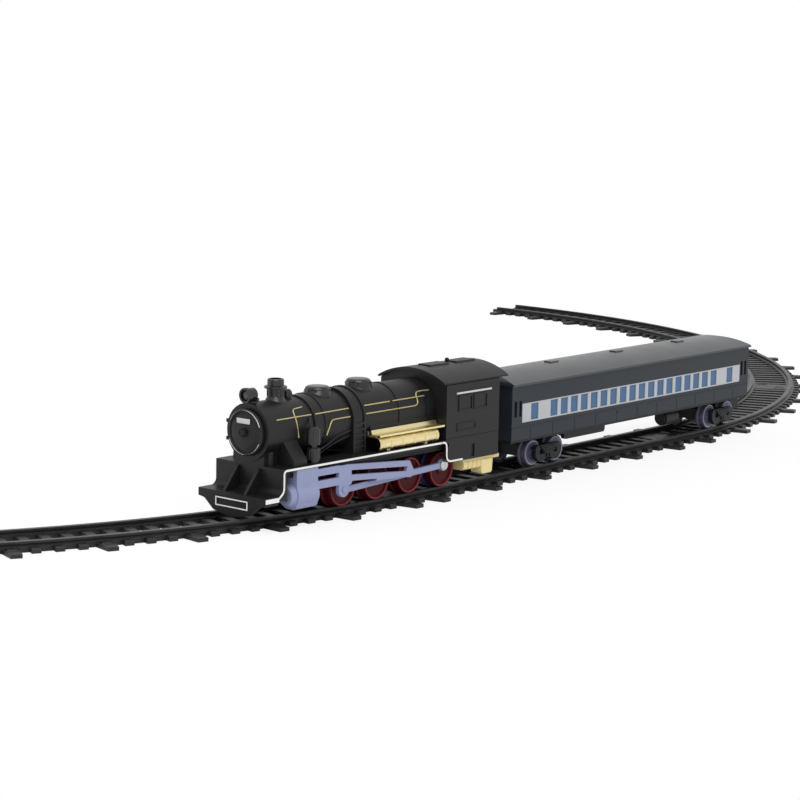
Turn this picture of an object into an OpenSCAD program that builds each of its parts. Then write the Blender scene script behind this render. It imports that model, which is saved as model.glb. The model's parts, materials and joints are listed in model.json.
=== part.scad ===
// Battery model train: a steam locomotive and a passenger coach on clip-together plastic track.
// World frame: X along the straight track (the train faces -X), Y across it, Z up from the table.
// The train is drawn facing +X with its left side on +Y, then turned round onto the rails.

/* [Track] */
// Length of the straight section
straight_len = 211.3; // [180:0.1:300]
// Radius of the curved sections, at the middle of the track
curve_r = 380; // [300:1:600]
// Angle of one curved section
curve_step = 30; // [20:1:30]
// Distance between the rail centres
rail_gauge = 21.7; // [21:0.1:22.5]
// Width of a rail's head
rail_head_w = 2.2; // [1.6:0.1:2.4]
// Height of the rail's top above the table
rail_top = 4.2; // [3.6:0.1:4.6]
// Thickness of the sleepers
sleeper_h = 2; // [1.6:0.1:2.2]
// Width of one sleeper along the track
sleeper_w = 3.8; // [3:0.1:5]
// Length of a sleeper across the track
sleeper_len = 32; // [30:0.1:38]
// Reach of the long tab sleepers from the middle of the track
tab_reach = 22.5; // [20:0.1:25]
// Sleepers in the straight section (an odd number)
straight_sleepers = 23; // [19:2:25]
// Sleepers in a curved section
curve_sleepers = 22; // [18:1:24]
// Radius of a joiner's round head
joiner_r = 2.6; // [2:0.1:3]
// Gap round a joiner's head in its socket
joiner_gap = 0.2; // [0.15:0.05:0.3]

/* [Locomotive] */
// Half width over the running boards
loco_half_w = 18.8; // [18:0.1:20]
// Height of the running board's top
board_top = 25.7; // [25:0.1:27]
// Thickness of the running board's edge
board_edge = 1.2; // [0.8:0.1:1.6]
// Height of the boiler's centre line
boiler_z = 38.9; // [38.5:0.1:40]
// Radius of the boiler
boiler_r = 12.3; // [12:0.1:12.6]
// Radius of the smokebox
smokebox_r = 11.7; // [11.5:0.1:12]
// Height of the cab walls' lower edge
cab_bottom = 15.9; // [15.6:0.1:17]
// Height of the cab walls at the eaves
cab_eave = 50.4; // [48:0.1:51]
// Height of the cab roof's top
cab_top = 55.7; // [54.5:0.1:57]
// Length of the cab
cab_len = 35.8; // [34:0.1:37]
// Wall of the moulded shells
shell_wall = 1.2; // [1:0.1:1.4]

/* [Driving wheels] */
// Distance between the driving axles
axle_pitch = 21.1; // [20:0.1:22]
// Radius of a driving wheel's tread
driver_r = 7.8; // [7.2:0.1:8]
// Radius of an axle
axle_r = 1; // [0.8:0.05:1.2]
// Distance of the crank pin from its axle
crank_throw = 3.9; // [2.4:0.1:4.6]
// Angle of the crank pin above the track at rest
crank_angle = 40; // [30:1:60]
// Flange depth on every wheel
flange_h = 0.9; // [0.6:0.1:1]

/* [Coach] */
// Length of the coach body
coach_len = 199.3; // [190:0.1:215]
// Half width of the coach body
coach_half_w = 17.4; // [16.5:0.1:18]
// Height of the coach body's lower edge
coach_bottom = 19.2; // [18.8:0.1:21]
// Height of the eaves
coach_eave = 43.6; // [42:0.1:45]
// Height of the roof's top
coach_top = 48.2; // [47:0.1:50]
// Height of the window band's lower edge
window_z = 26.8; // [25.5:0.1:28]
// Height of the windows
window_h = 8.6; // [7:0.1:9]
// Least distance of the window band from the coach's end
band_margin = 7.5; // [7.2:0.1:12]
// Distance from one window to the next
window_pitch = 7.94; // [7.6:0.01:8.2]
// Distance of the front bogie's pivot from the coach's front end
front_inset = 33.8; // [30:0.1:38]
// Distance of the rear bogie's pivot from the coach's rear end
rear_inset = 17.2; // [16.6:0.1:24]
// Distance between the axles of a bogie
bogie_base = 17.6; // [17:0.1:19]
// Radius of a coach wheel's tread
coach_wheel_r = 6; // [5.5:0.1:6.2]

/* [Fits] */
// Play of an axle in its bearing, on the radius
running_gap = 0.06; // [0.04:0.01:0.1]
// Gap between parts that move past each other
free_gap = 0.4; // [0.3:0.05:0.6]
// Gap between a wheel's tread and the rail
rail_gap = 0.2; // [0.1:0.05:0.3]

/* [Hidden] */
$fn = 64;
eps = 0.01;

// Places of the train on the track
loco_x = -115.67;
loco_y = 0.7;
loco_turn = 1.6;
coach_front = -40.22;
coach_x = coach_front + coach_len / 2;
coach_turn = 0.2;
coach_y = 0.6;

// Heights of the axles follow from the wheels and the rail
driver_z = rail_top + rail_gap + driver_r;
coach_axle_z = rail_top + rail_gap + coach_wheel_r;

// Wheel profile across the track, from the inside of the flange to the outer face
rail_inner = rail_gauge / 2 - rail_head_w / 2;
flange_out = rail_inner - 1.3;
flange_w = 1.1;
wheel_back = flange_out - flange_w;
wheel_face = flange_out + 4.4;

// Locomotive lengths, measured forward from the middle of the driving wheelbase
axle_x = [for (i = [0:3]) (1.5 - i) * axle_pitch];
cab_rear = -62.8;
cab_front = cab_rear + cab_len;
board_rear = cab_front - 2;
board_front = 71.4;
beam_front = 83.8;
smokebox_rear = 48.1;
smokebox_front = 74.8;
board_low = board_top - 2.8;
deck_top = board_low;
deck_h = 1.5;
deck_half = 16.3;
axle_seat = wheel_back - 0.5;

cheek_rear = -46.4;
cheek_front = 39;
screw_x = [-54.6, 47];
screw_r = 1;
switch_x = -49.4;
switch_travel = 4;
lamp_x = 72.4;
lamp_z = 53.8;
lamp_rear = 72;
lamp_front = 76.9;
lamp_r = 2.8;

// Fittings along the boiler
chimney_x = 59;
chimney_top = 59;
bell_x = 52.2;
sand_dome_x = 34;
steam_dome_x = 8.9;
// Height of the sand dome's top
sand_dome_top = 53.7;
// Height of the steam dome's top
steam_dome_top = 54.4;
band_x = 18.4;
ring_x = [-22.6, -4.8, 41];
ring_w = 1.4;
casing_x = 58;
casing_w = 7.8;
pump_x = 52.6;
pump_y = 15.4;
tank_rear = -22.4;
tank_front = 15.4;
shelf_rear = -26.5;
shelf_front = 17.4;

// Cylinder block and valve gear
cyl_front = 65.4;
cyl_rear = 53.1;
cyl_out = 18.6;
cyl_in = 11.5;
gear_out = 18.4;
gear_t = 1.7;
rod_out = gear_out - gear_t - free_gap;
rod_t = 1.5;
boss_x = 35.8;
boss_z = 12.9;
pin_x = axle_x[3] + crank_throw * cos(crank_angle);
pin_z = driver_z + crank_throw * sin(crank_angle);
pin_r = 0.9;

// Battery and drive
cell_r = 7.25;
cell_len = 50.5;
cell_front = 71;
tube_r = cell_r + 0.5;
door_r = 9.6;
door_gap = 0.3;
hinge_y = -10.7;
gear_module = 0.5;
axle_teeth = 28;
idler_small = 10;
idler_large = 30;
pinion_teeth = 8;
idler_x = axle_x[3] + pitch_gap(axle_teeth, idler_small) * cos(129);
idler_z = driver_z + pitch_gap(axle_teeth, idler_small) * sin(129);
motor_x = idler_x + pitch_gap(idler_large, pinion_teeth) * cos(145);
motor_z = idler_z + pitch_gap(idler_large, pinion_teeth) * sin(145);

function pitch_gap(a, b) = gear_module * (a + b) / 2;

// ---------- placing ----------

module on_loco() {
    translate([loco_x, loco_y, 0]) rotate([0, 0, 180 - loco_turn]) children();
}

module on_coach() {
    translate([coach_x, coach_y, 0]) rotate([0, 0, 180 + coach_turn]) children();
}

// Turns a profile drawn in the YZ plane (x = across, y = up) and runs it forward from x0 to x1
module along_x(x0, x1) {
    translate([x0, 0, 0]) rotate([90, 0, 90]) linear_extrude(x1 - x0) children();
}

// Runs a side view (x = forward, y = up) across from y0 to y1
module across_y(y0, y1) {
    translate([0, y1, 0]) rotate([90, 0, 0]) linear_extrude(y1 - y0) children();
}

module rod_x(r, x0, x1, y, z) {
    translate([x0, y, z]) rotate([0, 90, 0]) cylinder(r = r, h = x1 - x0);
}

module rod_y(r, x, y0, y1, z) {
    translate([x, y0, z]) rotate([-90, 0, 0]) cylinder(r = r, h = y1 - y0);
}

module block(x0, x1, y0, y1, z0, z1) {
    translate([x0, y0, z0]) cube([x1 - x0, y1 - y0, z1 - z0]);
}

module both_sides() {
    children();
    mirror([0, 1, 0]) children();
}

// ---------- track ----------

// Rail section: foot, web and head, centred on x = 0
module rail_profile() {
    h = rail_head_w / 2;
    f = h + 1.1;
    polygon([[-f, sleeper_h - 0.4], [f, sleeper_h - 0.4], [f, sleeper_h + 0.3], [h - 0.2, sleeper_h + 0.8],
        [h, rail_top - 0.9], [h, rail_top], [-h, rail_top], [-h, rail_top - 0.9],
        [0.2 - h, sleeper_h + 0.8], [-f, sleeper_h + 0.3]]);
}

// Stringer under each rail, which ties the sleepers together
module stringer_profile() {
    translate([-2.1, 0]) square([4.2, sleeper_h]);
}

module sleeper(reach) {
    along_x(-sleeper_w / 2, sleeper_w / 2)
        polygon([[-reach, 0], [reach, 0], [reach, sleeper_h - 0.6], [reach - 0.6, sleeper_h],
            [0.6 - reach, sleeper_h], [-reach, sleeper_h - 0.6]]);
}

// Every fourth sleeper carries a wedge-shaped tab on both sides
module tab_sleeper() {
    sleeper(sleeper_len / 2);
    both_sides()
        linear_extrude(sleeper_h * 0.8)
            polygon([[-sleeper_w / 2 - 1.6, sleeper_len / 2 - 3], [sleeper_w / 2 + 1.6, sleeper_len / 2 - 3],
                [sleeper_w / 2 + 0.4, tab_reach], [-sleeper_w / 2 - 0.4, tab_reach]]);
}

// End plate facing +x: a tongue on one side and a socket on the other
joiner_y = 4.8;
joiner_neck = 3;
joiner_reach = 5.4;
end_plate = 9;

module joiner_shape(gap) {
    translate([joiner_reach, 0]) circle(r = joiner_r + gap);
    translate([-1, -joiner_neck / 2 - gap]) square([joiner_reach + 1, joiner_neck + 2 * gap]);
}

module end_plate_cut() {
    translate([0, -joiner_y, -1]) mirror([1, 0, 0]) linear_extrude(sleeper_h + 2) joiner_shape(joiner_gap);
}

module end_plate_body() {
    block(-end_plate, 0, -rail_gauge / 2, rail_gauge / 2, 0, sleeper_h);
}

module end_tongue() {
    translate([0, joiner_y, 0]) linear_extrude(sleeper_h - 0.2) joiner_shape(0);
}

joint_gap = 0.1;

module track_straight() {
    half = straight_len / 2 - joint_gap / 2;
    pitch = straight_len / straight_sleepers;
    color([0.13, 0.13, 0.14]) difference() {
        union() {
            for (s = [-1, 1]) {
                translate([0, s * rail_gauge / 2, 0]) along_x(-half, half) rail_profile();
                translate([0, s * rail_gauge / 2, 0]) along_x(-half, half) stringer_profile();
            }
            for (i = [0:straight_sleepers - 1])
                translate([(i + 0.5) * pitch - straight_len / 2, 0, 0])
                    if (i % 4 == 1) tab_sleeper(); else sleeper(sleeper_len / 2);
            for (turn = [0, 180]) rotate([0, 0, turn]) translate([half, 0, 0]) {
                end_plate_body();
                end_tongue();
            }
        }
        for (turn = [0, 180]) rotate([0, 0, turn]) translate([half, 0, 0]) end_plate_cut();
    }
}

// A curved section from angle 0 to curve_step about the origin
module curve_section() {
    trim = joint_gap / 2 / curve_r * 180 / PI;
    pitch = curve_step / curve_sleepers;
    difference() {
        union() {
            rotate([0, 0, trim]) rotate_extrude(angle = curve_step - 2 * trim, $fn = 360)
                for (s = [-1, 1]) translate([curve_r + s * rail_gauge / 2, 0]) {
                    rail_profile();
                    stringer_profile();
                }
            for (i = [0:curve_sleepers - 1])
                rotate([0, 0, (i + 0.5) * pitch]) translate([curve_r, 0, 0]) rotate([0, 0, 90])
                    if (i % 4 == 1) tab_sleeper(); else sleeper(sleeper_len / 2);
            for (a = [0, 1]) curve_end(a, trim) {
                end_plate_body();
                end_tongue();
            }
        }
        for (a = [0, 1]) curve_end(a, trim) end_plate_cut();
    }
}

// Puts a shape that faces +x on one end of a curved section
module curve_end(a, trim) {
    rotate([0, 0, a == 1 ? curve_step - trim : trim]) translate([curve_r, 0, 0])
        rotate([0, 0, a == 1 ? 90 : -90]) children();
}

module place_curve(side, turn) {
    color([0.13, 0.13, 0.14]) translate([side * straight_len / 2, curve_r, 0]) rotate([0, 0, turn]) curve_section();
}

module track_left_curve() { place_curve(-1, -90 - curve_step); }
module track_right_curve_1() { place_curve(1, -90); }
module track_right_curve_2() { place_curve(1, -90 + curve_step); }
module track_right_curve_3() { place_curve(1, -90 + 2 * curve_step); }

// ---------- locomotive body ----------

// Round barrel with straight cheeks down to the running board
module barrel_profile(r, skirt_y) {
    translate([0, boiler_z]) circle(r = r);
    translate([-skirt_y, board_top]) square([2 * skirt_y, boiler_z - board_top]);
}

module boiler() {
    spigots = [[chimney_x, 2.4], [bell_x, 0.9], [sand_dome_x, 4], [steam_dome_x, 4]];
    color([0.15, 0.15, 0.16]) on_loco() difference() {
        union() {
            rod_x(boiler_r, cab_front - 6, smokebox_rear, 0, boiler_z);
            rod_x(smokebox_r, smokebox_rear, smokebox_front, 0, boiler_z);
            for (x = ring_x) rod_x(boiler_r + 0.3, x, x + ring_w, 0, boiler_z);
            // the pipe band that straddles the boiler
            for (x = [band_x, band_x + 6.6]) along_x(x, x + 1.2) barrel_profile(boiler_r + 1.1, boiler_r + 1.1);
            along_x(band_x + 0.8, band_x + 7) barrel_profile(boiler_r + 0.6, boiler_r + 0.6);
            for (z = [28:2.4:38]) both_sides()
                block(band_x + 0.6, band_x + 7.2, boiler_r, boiler_r + 1.1, z, z + 0.8);
            // smokebox saddle
            along_x(smokebox_front - 12, smokebox_front - 0.8)
                polygon([[-8.2, board_top], [8.2, board_top], [8.2, 29], [9.4, 33], [-9.4, 33], [-8.2, 29]]);
            both_sides() translate([smokebox_front - 4.6, 8.2, board_top]) cylinder(r = 1.5, h = 5.6);
            // steam pipe casings that run down to the cylinders
            both_sides() along_x(casing_x, casing_x + casing_w)
                polygon([[6, board_top], [17, board_top], [17, board_top + 2.2], [11, 35.2], [6, 35.2]]);
            // firebox cheeks beside the cab
            both_sides() along_x(cab_front - 1, tank_front - 1)
                polygon([[4, board_top], [12.6, board_top], [12.6, 32], [11.6, boiler_z], [4, boiler_z]]);
        }
        // battery tube, from the front to its rear stop
        rod_x(tube_r, cell_front - cell_len - 3.4, smokebox_front + 1, 0, boiler_z);
        // space for the wiring and the motor behind the tube
        rod_x(boiler_r - 2.4, cab_front - 7, cell_front - cell_len - 5, 0, boiler_z);
        block(cab_front - 7, 10, -8, 8, board_top - 1, boiler_z);
        for (s = spigots) translate([s[0], 0, boiler_z + 9]) cylinder(r = s[1] * 0.5 + running_gap, h = 5);
        translate([lamp_x, 0, boiler_z + 9]) cylinder(r = 0.8 + running_gap, h = 5);
        // wire hole through the tube's rear stop
        rod_x(1.2, cell_front - cell_len - 6, cell_front - cell_len, 0, boiler_z - 5);
    }
}

// Domed door that closes the battery tube, with two strap hinges on its right edge
module smokebox_door() {
    door_x = smokebox_front + door_gap;
    color([0.12, 0.12, 0.13]) on_loco() difference() {
        union() {
            translate([door_x, 0, boiler_z]) rotate([90, 0, 90]) rotate_extrude()
                polygon([[0, 0], [door_r, 0], [door_r, 1.1], [door_r - 0.5, 1.6], [door_r - 1.2, 1.6],
                    [door_r - 1.4, 1.2], [6, 1.7], [3, 2], [0, 2.1]]);
            rod_x(1.1, door_x + 1.5, door_x + 3, 0, boiler_z);
            for (z = [-3.6, 3.6]) {
                block(door_x, door_x + 0.8, hinge_y, 0, boiler_z + z - 0.7, boiler_z + z + 0.7);
                translate([door_x + 0.4, hinge_y, boiler_z + z - 0.7]) cylinder(r = 0.6, h = 1.4);
            }
        }
        for (z = [-3.6, 3.6]) translate([door_x + 0.4, hinge_y, boiler_z + z - 1]) cylinder(r = 0.3, h = 2);
    }
}

module headlight() {
    color([0.14, 0.14, 0.15]) on_loco() union() {
        difference() {
            union() {
                rod_x(lamp_r, lamp_rear, lamp_front - 0.4, 0, lamp_z);
                rod_x(lamp_r + 0.3, lamp_front - 1.6, lamp_front, 0, lamp_z);
                translate([lamp_rear - 0.9, 0, lamp_z]) rotate([0, 90, 0]) cylinder(r1 = 1.6, r2 = lamp_r, h = 0.95);
                block(lamp_rear - 0.6, lamp_rear + 1.8, -1.6, 1.6, boiler_z + smokebox_r - 0.4, lamp_z - 1);
                block(lamp_rear + 0.2, lamp_rear + 1.2, -lamp_r - 0.9, lamp_r + 0.9, lamp_z - lamp_r, lamp_z - 1);
            }
            rod_x(lamp_r - 0.5, lamp_front - 1.4, lamp_front + 1, 0, lamp_z);
            rod_x(smokebox_r, lamp_rear - 10, lamp_front + 4, 0, boiler_z);
        }
        translate([lamp_x, 0, boiler_z + 9.2]) cylinder(r = 0.8, h = 3);
        rod_x(lamp_r - 0.9, lamp_front - 1.7, lamp_front - 1.2, 0, lamp_z);
    }
}

// Ribbed chimney with a flared collar and an open top
module chimney() {
    top = chimney_top;
    seat = boiler_z + smokebox_r - 1.6;
    color([0.15, 0.15, 0.16]) on_loco() difference() {
        union() {
            difference() {
                translate([chimney_x, 0, seat]) rotate_extrude()
                    polygon([[0, 0], [5, 0], [3.8, 2], [3.3, 3], [3.3, top - seat - 4.2], [4.7, top - seat - 3.8],
                        [4.7, top - seat - 3.1], [3.4, top - seat - 2.5], [3.4, top - seat - 0.4],
                        [3.1, top - seat], [0, top - seat]]);
                rod_x(smokebox_r, chimney_x - 10, chimney_x + 10, 0, boiler_z);
            }
            translate([chimney_x, 0, boiler_z + 9.4]) cylinder(r = 1.2, h = 3.4);
            for (a = [0:30:330]) rotate_about(chimney_x, a)
                translate([3.2, 0, seat + 3]) cylinder(r = 0.5, h = top - seat - 7);
        }
        translate([chimney_x, 0, top - 3]) cylinder(r = 2.4, h = 4);
    }
}

module rotate_about(x, a) {
    translate([x, 0, 0]) rotate([0, 0, a]) children();
}

module bell() {
    color([0.15, 0.15, 0.16]) on_loco() union() {
        translate([bell_x, 0, boiler_z + 9.4]) cylinder(r = 0.45, h = 4);
        difference() {
            translate([bell_x, 0, boiler_z + smokebox_r - 0.4]) rotate_extrude()
                polygon([[0, 0], [1.3, 0], [1.3, 0.9], [2.3, 1.2], [2.1, 2.2], [1.8, 3.1], [1.1, 3.8], [0, 4]]);
            rod_x(smokebox_r, bell_x - 5, bell_x + 5, 0, boiler_z);
        }
    }
}

// Low fluted dome that seats on the boiler with a spigot below
module dome(x, r_base, r_top, top, ribs) {
    low = boiler_z + boiler_r - 1.6;
    color([0.15, 0.15, 0.16]) on_loco() union() {
        difference() {
            union() {
                translate([x, 0, low]) rotate_extrude()
                    polygon([[0, 0], [r_base + 0.5, 0], [r_base, 1.2], [r_top, top - low - 1.6],
                        [r_top, top - low - 1.1], [r_top - 0.35, top - low - 0.5], [r_top - 1.1, top - low - 0.1],
                        [r_top - 2.2, top - low], [0, top - low]]);
                for (i = [0:ribs - 1]) rotate_about(x, i * 360 / ribs)
                    translate([r_top - 0.35, 0, low + 0.8]) cylinder(r = 0.7, h = top - low - 2.2);
            }
            rod_x(boiler_r, x - 9, x + 9, 0, boiler_z);
        }
        translate([x, 0, boiler_z + 9.4]) cylinder(r = 2, h = boiler_r - 8);
    }
}

module sand_dome() { dome(sand_dome_x, 6, 5.3, sand_dome_top, 10); }
module steam_dome() { dome(steam_dome_x, 5.8, 5.3, steam_dome_top, 8); }

// Cab walls: two sides, a front with the boiler's hole, and a rear bulkhead
module cab_outline() {
    intersection() {
        translate([-loco_half_w, cab_bottom]) square([2 * loco_half_w, cab_top - cab_bottom]);
        translate([0, arch_z(roof_t + 0.05)]) circle(r = arch_r(), $fn = 180);
    }
}

module cab() {
    lip = 0.35;
    color([0.16, 0.16, 0.17]) on_loco() difference() {
        union() {
            difference() {
                along_x(cab_rear, cab_front) cab_outline();
                block(cab_rear + shell_wall, cab_front - shell_wall, shell_wall - loco_half_w,
                    loco_half_w - shell_wall, cab_bottom - 1, cab_top);
            }
            // window frames, rain strip, door steps and number plate on each side
            both_sides() {
                cab_frame(cab_rear + 8.4, cab_rear + 17.6, 37.6, 44.2, lip);
                cab_frame(cab_rear + 18.6, cab_rear + 27.8, 37.6, 44.2, lip);
                block(cab_rear + 6, cab_rear + 29.4, loco_half_w - eps, loco_half_w + 0.5, 45.2, 45.9);
                cab_frame(cab_rear + 15.9, cab_rear + 28.6, 28.8, 32.4, 0.25);
            }
        }
        rod_x(boiler_r + 0.1, cab_front - 4, cab_front + 1, 0, boiler_z);
        // notch that clears the running board and the gear below it
        block(cab_front - 4, cab_front + 1, -boiler_r - 0.4, boiler_r + 0.4, board_low - 1, boiler_z);
        block(cab_front - 2.05, cab_front + 1, -loco_half_w - 1, loco_half_w + 1, board_low - 0.05, board_top + 0.05);
        // rounded lower front corner of each side
        both_sides() across_y(loco_half_w - 2, loco_half_w + 1) difference() {
            translate([cab_front - 3.2, cab_bottom - 1]) square([4, 4.2]);
            translate([cab_front - 3.2, cab_bottom + 3.2]) circle(r = 3.2);
        }
        block(cab_front - 2, cab_front + 1, shell_wall - loco_half_w, loco_half_w - shell_wall, cab_bottom - 1,
            board_low + 1);
        // panel joint along each side and the door step slots
        both_sides() block(cab_rear - 1, cab_front + 1, loco_half_w - 0.25, loco_half_w + 1, 26.2, 26.5);
        both_sides() block(cab_rear + 16.4, cab_rear + 18.8, loco_half_w - 0.6, loco_half_w + 1, cab_bottom + 1, 22.4);
        // end wall's doorway recess
        block(cab_rear - 1, cab_rear + 0.4, -5, 5, 24, 42);
    }
}

module cab_frame(x0, x1, z0, z1, h) {
    across_y(loco_half_w - eps, loco_half_w + h) difference() {
        translate([x0, z0]) square([x1 - x0, z1 - z0]);
        translate([x0 + 0.6, z0 + 0.6]) square([x1 - x0 - 1.2, z1 - z0 - 1.2]);
    }
}

// Circle through both eaves and the roof's top
roof_over = 0.2;
roof_t = 1.15;
function arch_w() = loco_half_w + roof_over;
function arch_rise() = cab_top - cab_eave - 0.2;
function arch_r() = (arch_w() * arch_w() + arch_rise() * arch_rise()) / (2 * arch_rise());
function arch_z(drop) = cab_top - drop - arch_r();

module cab_roof() {
    x0 = cab_rear - 5.6;
    x1 = cab_front + 1.8;
    color([0.14, 0.14, 0.15]) on_loco() union() {
        difference() {
            along_x(x0, x1) difference() {
                intersection() {
                    translate([0, arch_z(0)]) circle(r = arch_r(), $fn = 180);
                    translate([-arch_w(), cab_eave - 1]) square([2 * arch_w(), 12]);
                }
                translate([0, arch_z(roof_t)]) circle(r = arch_r(), $fn = 180);
            }
            block(x0 - 1, x1 + 1, -arch_w() - 1, arch_w() + 1, 40, cab_eave - 0.5);
        }
        // ridge ventilators and the whistle between them
        for (x = [cab_rear - 1.4, cab_rear + 16.4]) along_x(x, x + 12.6)
            polygon([[-4, cab_top - 0.6], [4, cab_top - 0.6], [3.2, cab_top + 0.5], [-3.2, cab_top + 0.5]]);
        translate([cab_rear + 13.8, 0, cab_top - 0.6]) rotate_extrude()
            polygon([[0, 0], [0.9, 0], [0.7, 1], [0.95, 1.6], [0.95, 2.2], [0.5, 2.6], [0, 2.6]]);
    }
}

// Running board with an inset web below its edge
module running_board() {
    w = loco_half_w;
    color([0.14, 0.14, 0.15]) on_loco() difference() {
        union() {
            block(board_rear, board_front, -w, w, board_top - board_edge, board_top);
            block(board_rear, board_front, -deck_half, deck_half, board_low, board_top - board_edge + eps);
        }
        block(board_rear - 1, screw_x[1] - 3, -8, 8, board_low - 1, board_top + 1);
        translate([screw_x[1], 0, board_low - 1]) cylinder(r = screw_r + free_gap, h = 6);
        block(board_rear - 1, board_rear + 2, -boiler_r, boiler_r, board_low - 1, board_top + 1);
    }
}

// Stepped front deck with the buffer beam, its apron and two braces
module front_deck() {
    w = loco_half_w;
    color([0.14, 0.14, 0.15]) on_loco() difference() {
        union() {
            across_y(-w, w)
                polygon([[board_front + 0.05, board_top], [board_front + 0.05, 13.2], [board_front + 5, 13.2],
                    [board_front + 5, 11.8], [beam_front, 11.8], [beam_front, 15.1], [board_front + 2.4, 15.1],
                    [board_front + 2.4, board_top]]);
            // concave sweep between the wall and the beam
            across_y(-w, w) difference() {
                translate([board_front + 2.3, 15]) square([2.8, 2.8]);
                translate([board_front + 5.1, 17.8]) circle(r = 2.7);
            }
            along_x(beam_front - 1.6, beam_front)
                polygon([[-w, 11.9], [-15.4, 11.3], [-10.4, 7.2], [-2.4, 5.6], [2.4, 5.6], [10.4, 7.2],
                    [15.4, 11.3], [w, 11.9]]);
            both_sides() across_y(5.2, 6.6)
                polygon([[board_front + 2.3, 24.6], [board_front + 3.4, 24.6], [beam_front - 1.4, 15],
                    [board_front + 2.3, 15]]);
            // tongue that is screwed up under the chassis
            block(board_front - 9, board_front + 0.1, -7, 7, deck_top - deck_h - 2.05, deck_top - deck_h - 0.05);
        }
        // shallow panel in the beam's face
        block(beam_front - 0.3, beam_front + 1, -8, 8, 9.4, 13.6);
    }
}

// Gold air tank with its end caps and bands
module air_tank() {
    y = 15.8;
    z = board_top + 3;
    union() {
        rod_x(2.8, tank_rear, tank_front, y, z);
        for (k = [0:5]) rod_x(3, tank_rear + k * (tank_front - tank_rear - 1.4) / 5,
            tank_rear + k * (tank_front - tank_rear - 1.4) / 5 + 1.4, y, z);
        rod_x(2.2, tank_front - 0.1, tank_front + 0.8, y, z);
        for (x = [tank_rear + 6, tank_front - 8]) block(x, x + 2, y - 1.5, y + 1.5, board_top, z);
    }
}

module left_air_tank() { color([0.78, 0.68, 0.36]) on_loco() air_tank(); }
module right_air_tank() { color([0.78, 0.68, 0.36]) on_loco() mirror([0, 1, 0]) air_tank(); }

// Shelf above the tank with a raised board against the boiler
module tank_shelf() {
    z = board_top + 6.2;
    block(shelf_rear, shelf_front, 12.9, 18.4, z, z + 0.8);
    along_x(shelf_rear, shelf_front) polygon([[12.9, z], [14.2, z], [13.4, z + 2.4], [12.9, z + 2.4]]);
}

module left_tank_shelf() { color([0.75, 0.65, 0.34]) on_loco() tank_shelf(); }
module right_tank_shelf() { color([0.75, 0.65, 0.34]) on_loco() mirror([0, 1, 0]) tank_shelf(); }

// Twin-cylinder air pump that stands on the left running board
module air_pump() {
    color([0.16, 0.16, 0.17]) on_loco() translate([pump_x, pump_y, 0]) union() {
        translate([0, 0, board_top]) cylinder(r = 2.2, h = 1);
        translate([0, 0, board_top + 0.9]) cylinder(r = 2.6, h = 5.2);
        translate([0, 0, board_top + 6]) cylinder(r = 1.3, h = 1.6);
        translate([0, 0, board_top + 7.5]) cylinder(r = 2.8, h = 6.6);
        translate([0, 0, board_top + 14]) rotate_extrude()
            polygon([[0, 0], [2.4, 0], [1.6, 0.7], [0, 0.9]]);
        for (a = [0:45:315]) rotate([0, 0, a]) translate([2.6, 0, board_top + 8]) cylinder(r = 0.4, h = 5.6);
        for (a = [0:45:315]) rotate([0, 0, a]) translate([2.4, 0, board_top + 1.4]) cylinder(r = 0.4, h = 4.2);
    }
}

// ---------- cylinders and valve gear ----------

// Side view of the guide bars, crosshead hanger and slotted link, drawn as one moulding
module gear_outline() {
    difference() {
        union() {
            translate([boss_x + 4, 20.4]) square([cyl_rear - boss_x - 3.9, 3]);
            translate([boss_x + 4, 15.2]) square([cyl_rear - boss_x - 3.9, 3.2]);
            translate([boss_x - 1.8, boss_z]) square([6.2, 10.2]);
            translate([boss_x + 1.3, boss_z]) circle(r = 3.1);
            polygon([[boss_x, 23.2], [boss_x, 14.6], [0, 13.5], [-5, 12.8], [-7.1, 15.1], [-4, 20]]);
        }
        // long window in the link and the wedge below it
        polygon([[32.6, 20.5], [32.6, 18.5], [-2, 15.7], [-2.6, 17.7]]);
        polygon([[33.2, 14.3], [32, 16], [17, 14.9], [17, 14.1]]);
    }
}

// Valve chest and cylinder barrel with the guide bars and link in one lavender moulding
module cylinder_block() {
    union() {
        difference() {
            union() {
                along_x(cyl_rear, cyl_front) difference() {
                    union() {
                        translate([cyl_in, 12]) square([cyl_out - cyl_in, deck_top - deck_h - 12]);
                        translate([deck_half + 0.1, 12]) square([cyl_out - deck_half - 0.1, board_top - board_edge - 12.05]);
                        translate([(cyl_in + cyl_out) / 2 - 1, 13.6]) circle(r = 5.6);
                        translate([cyl_out - 4, 10.4]) square([4, 4]);
                        translate([cyl_out - 2.4, 10.4]) circle(r = 2.4);
                    }
                    translate([0, 5]) square([wheel_face + free_gap - 4.2, 20]);
                }
                translate([cyl_front - 0.1, (cyl_in + cyl_out) / 2 - 1, 13.6]) rotate([0, 90, 0])
                    cylinder(r1 = 5, r2 = 3.8, h = 2.4);
            }
            translate([cyl_front + 1.4, (cyl_in + cyl_out) / 2 - 1, 13.6]) rotate([0, 90, 0]) cylinder(r = 2.4, h = 2);
        }
        across_y(gear_out - gear_t, gear_out) gear_outline();
        translate([boss_x + 1.1, gear_out - eps, boss_z]) rotate([-90, 0, 0]) cylinder(r = 1.3, h = 0.5);
    }
}

module left_cylinder() { color([0.62, 0.64, 0.80]) on_loco() cylinder_block(); }
module right_cylinder() { color([0.62, 0.64, 0.80]) on_loco() mirror([0, 1, 0]) cylinder_block(); }

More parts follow.
